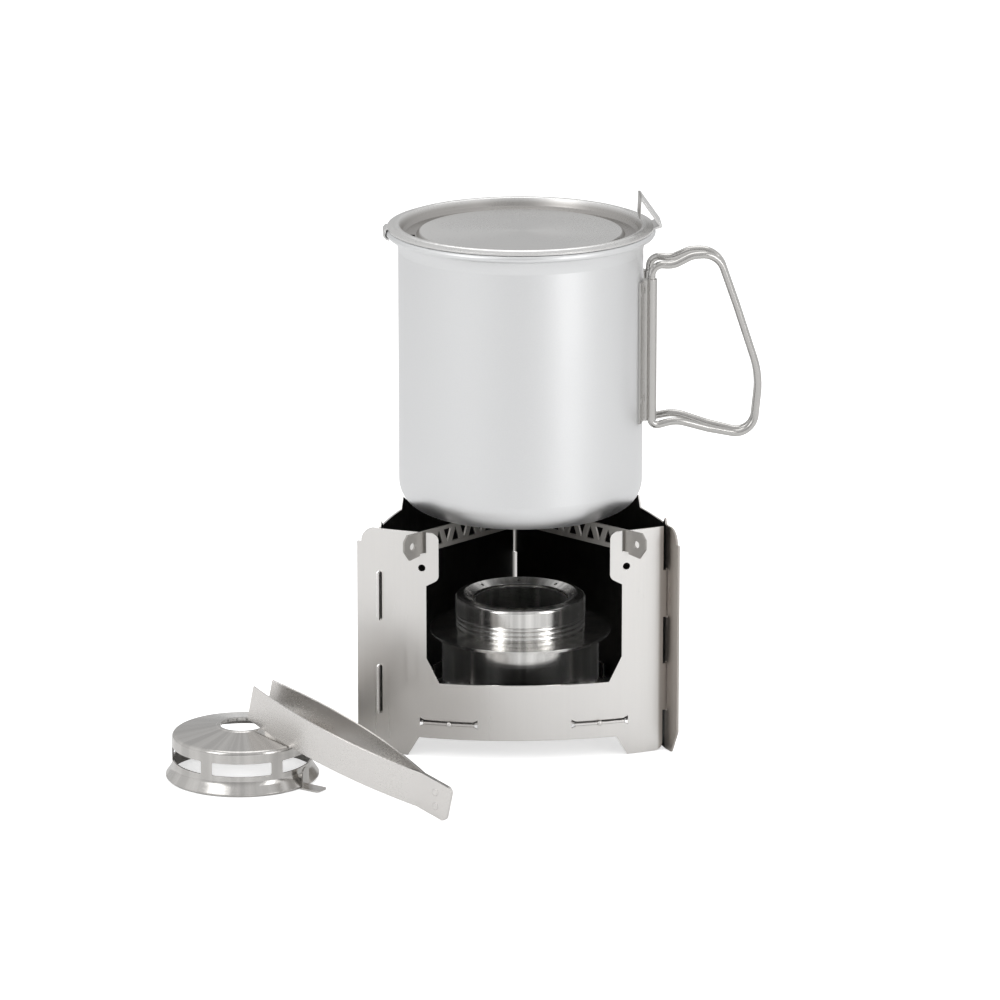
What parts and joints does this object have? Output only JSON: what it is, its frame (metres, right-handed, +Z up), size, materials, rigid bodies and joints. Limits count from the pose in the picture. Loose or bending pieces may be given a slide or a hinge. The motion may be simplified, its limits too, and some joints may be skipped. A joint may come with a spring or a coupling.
{
  "type": "alcohol spirit stove",
  "caption": "Folding sheet-metal stand with a spirit burner inside, a lidded pot with folding wire handles on its rails, a simmer ring and spring tongs beside it.",
  "frame": {"origin": "on the ground, on the upright axis of the burner and the pot", "axes": "+Z up, the burner window faces -Y, the pot's handles point to +X"},
  "size_m": [0.2349, 0.1985, 0.2162],
  "materials": {
    "stand_steel": "satin",
    "rail_steel": "satin",
    "burner_steel": "polished",
    "wick": "matt",
    "pot_metal": "matt",
    "handle_steel": "polished",
    "ring_steel": "satin",
    "tong_steel": "satin"
  },
  "bodies": {
    "stand": {"front_wall": "stand_steel", "rear_right_wall": "stand_steel", "rear_left_wall": "stand_steel", "base_plate": "stand_steel"},
    "rails": {"pot_rail_left": "rail_steel", "pot_rail_right": "rail_steel"},
    "burner": {"burner_lower_shell": "burner_steel", "burner_upper_shell": "burner_steel", "burner_inner_cup": "burner_steel", "burner_wick": "wick"},
    "pot": {"pot_body": "pot_metal", "front_handle_bracket": "handle_steel", "rear_handle_bracket": "handle_steel"},
    "lid": {"pot_lid": "pot_metal"},
    "front_handle": {"front_handle_wire": "handle_steel"},
    "rear_handle": {"rear_handle_wire": "handle_steel"},
    "simmer_ring": {"simmer_ring": "ring_steel", "simmer_ring_grip": "ring_steel"},
    "tongs": {"tong_arm_rear": "tong_steel"},
    "tong_arm": {"tong_arm_front": "tong_steel"}
  },
  "joints": [
    {"name": "rails_lift", "type": "slide", "parent": "stand", "child": "rails", "axis": [0, 0, 1], "range_m": [0, 0.03]},
    {"name": "pot_lift", "type": "slide", "parent": "rails", "child": "pot", "axis": [0, 0, 1], "range_m": [0, 0.06]},
    {"name": "lid_hinge", "type": "hinge", "parent": "pot", "child": "lid", "pos_m": [-0.05125, 0, 0.202], "axis": [0, -1, 0], "range_deg": [0, 45]},
    {"name": "front_handle_fold", "type": "hinge", "parent": "pot", "child": "front_handle", "pos_m": [0.0509, -0.008, 0.156], "axis": [0, 0, -1], "range_deg": [0, 115]},
    {"name": "rear_handle_fold", "type": "hinge", "parent": "pot", "child": "rear_handle", "pos_m": [0.0509, 0.008, 0.156], "axis": [0, 0, 1], "range_deg": [0, 115]},
    {"name": "burner_lift", "type": "slide", "parent": "stand", "child": "burner", "axis": [0, 0, 1], "range_m": [0, 0.022]},
    {"name": "simmer_ring_slide", "type": "slide", "parent": "stand", "child": "simmer_ring", "axis": [-0.78, 0.6258, 0], "range_m": [0, 0.05]},
    {"name": "tongs_lift", "type": "slide", "parent": "stand", "child": "tongs", "axis": [0, 0, 1], "range_m": [0, 0.05]},
    {"name": "tong_squeeze", "type": "hinge", "parent": "tongs", "child": "tong_arm", "pos_m": [-0.04221, -0.11432, 0.01031], "axis": [-0.1732, 0.1565, -0.9724], "range_deg": [0, 6], "stiffness_Nm_per_rad": 1}
  ]
}
